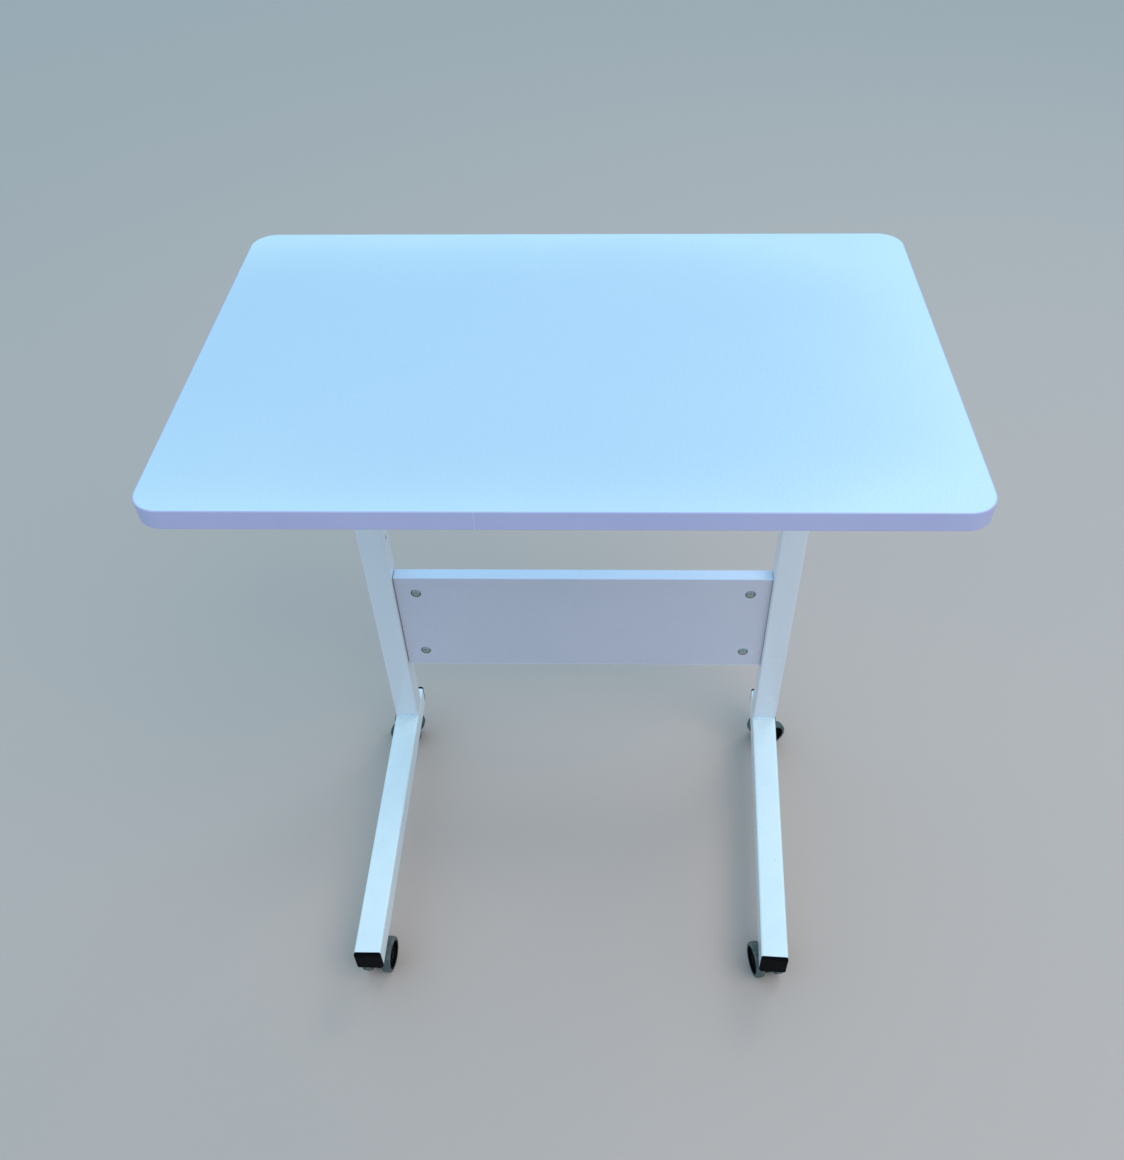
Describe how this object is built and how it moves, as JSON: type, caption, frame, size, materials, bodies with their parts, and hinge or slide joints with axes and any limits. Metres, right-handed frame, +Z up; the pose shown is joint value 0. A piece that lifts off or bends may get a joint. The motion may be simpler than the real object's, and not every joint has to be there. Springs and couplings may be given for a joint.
{
  "type": "mobile computer desk",
  "caption": "Small white computer desk on four twin-wheel castors: a board top with rounded corners on two welded square-tube side frames, joined by a low back panel.",
  "frame": {"origin": "on the floor under the middle of the tabletop", "axes": "+X to the right along the tabletop's width, -Y to the front where the user sits, +Y to the back panel, +Z up"},
  "size_m": [0.6, 0.4031, 0.73],
  "materials": {
    "white_board": "satin",
    "white_band": "satin",
    "white_steel": "satin",
    "black_plastic": "satin",
    "grey_tyre": "matte",
    "zinc": "satin"
  },
  "bodies": {
    "desk": {"top_board": "white_board", "edge_band": "white_band", "left_post": "white_steel", "right_post": "white_steel", "left_foot": "white_steel", "right_foot": "white_steel", "left_arm": "white_steel", "right_arm": "white_steel", "left_welds": "white_steel", "right_welds": "white_steel", "foot_caps": "black_plastic", "arm_caps": "black_plastic", "back_panel": "white_board", "panel_bands": "white_band", "cam_locks": "zinc", "cam_bolts": "zinc", "bolt_nuts": "zinc", "top_screws": "zinc", "castor_nuts": "zinc", "castor_stems": "zinc"},
    "front_left_castor": {"front_left_castor_body": "black_plastic", "front_left_castor_axle": "zinc"},
    "front_left_wheel_1": {"front_left_wheel_1_hub": "black_plastic", "front_left_wheel_1_tyre": "grey_tyre"},
    "front_left_wheel_2": {"front_left_wheel_2_hub": "black_plastic", "front_left_wheel_2_tyre": "grey_tyre"},
    "front_right_castor": {"front_right_castor_body": "black_plastic", "front_right_castor_axle": "zinc"},
    "front_right_wheel_1": {"front_right_wheel_1_hub": "black_plastic", "front_right_wheel_1_tyre": "grey_tyre"},
    "front_right_wheel_2": {"front_right_wheel_2_hub": "black_plastic", "front_right_wheel_2_tyre": "grey_tyre"},
    "rear_left_castor": {"rear_left_castor_body": "black_plastic", "rear_left_castor_axle": "zinc"},
    "rear_left_wheel_1": {"rear_left_wheel_1_hub": "black_plastic", "rear_left_wheel_1_tyre": "grey_tyre"},
    "rear_left_wheel_2": {"rear_left_wheel_2_hub": "black_plastic", "rear_left_wheel_2_tyre": "grey_tyre"},
    "rear_right_castor": {"rear_right_castor_body": "black_plastic", "rear_right_castor_axle": "zinc"},
    "rear_right_wheel_1": {"rear_right_wheel_1_hub": "black_plastic", "rear_right_wheel_1_tyre": "grey_tyre"},
    "rear_right_wheel_2": {"rear_right_wheel_2_hub": "black_plastic", "rear_right_wheel_2_tyre": "grey_tyre"}
  },
  "joints": [
    {"name": "front_left_swivel", "type": "hinge", "parent": "desk", "child": "front_left_castor", "pos_m": [-0.239, -0.176, 0.0445], "axis": [0, 0, 1], "continuous": true},
    {"name": "front_left_wheel_1_roll", "type": "hinge", "parent": "front_left_castor", "child": "front_left_wheel_1", "pos_m": [-0.24975, -0.16402, 0.021], "axis": [0.9962, -0.0872, 0], "continuous": true},
    {"name": "front_left_wheel_2_roll", "type": "hinge", "parent": "front_left_castor", "child": "front_left_wheel_2", "pos_m": [-0.22634, -0.16607, 0.021], "axis": [0.9962, -0.0872, 0], "continuous": true},
    {"name": "front_right_swivel", "type": "hinge", "parent": "desk", "child": "front_right_castor", "pos_m": [0.22011, -0.17631, 0.0445], "axis": [0, 0, 1], "continuous": true},
    {"name": "front_right_wheel_1_roll", "type": "hinge", "parent": "front_right_castor", "child": "front_right_wheel_1", "pos_m": [0.20633, -0.16799, 0.021], "axis": [0.9781, 0.2079, 0], "continuous": true},
    {"name": "front_right_wheel_2_roll", "type": "hinge", "parent": "front_right_castor", "child": "front_right_wheel_2", "pos_m": [0.22931, -0.16311, 0.021], "axis": [0.9781, 0.2079, 0], "continuous": true},
    {"name": "rear_left_swivel", "type": "hinge", "parent": "desk", "child": "rear_left_castor", "pos_m": [-0.239, 0.176, 0.0445], "axis": [0, 0, 1], "continuous": true},
    {"name": "rear_left_wheel_1_roll", "type": "hinge", "parent": "rear_left_castor", "child": "rear_left_wheel_1", "pos_m": [-0.25117, 0.16546, 0.021], "axis": [0.1045, 0.9945, 0], "continuous": true},
    {"name": "rear_left_wheel_2_roll", "type": "hinge", "parent": "rear_left_castor", "child": "rear_left_wheel_2", "pos_m": [-0.24871, 0.18884, 0.021], "axis": [0.1045, 0.9945, 0], "continuous": true},
    {"name": "rear_right_swivel", "type": "hinge", "parent": "desk", "child": "rear_right_castor", "pos_m": [0.23976, 0.17514, 0.0445], "axis": [0, 0, 1], "continuous": true},
    {"name": "rear_right_wheel_1_roll", "type": "hinge", "parent": "rear_right_castor", "child": "rear_right_wheel_1", "pos_m": [0.24503, 0.19035, 0.021], "axis": [0.4067, -0.9135, 0], "continuous": true},
    {"name": "rear_right_wheel_2_roll", "type": "hinge", "parent": "rear_right_castor", "child": "rear_right_wheel_2", "pos_m": [0.25459, 0.16888, 0.021], "axis": [0.4067, -0.9135, 0], "continuous": true}
  ]
}
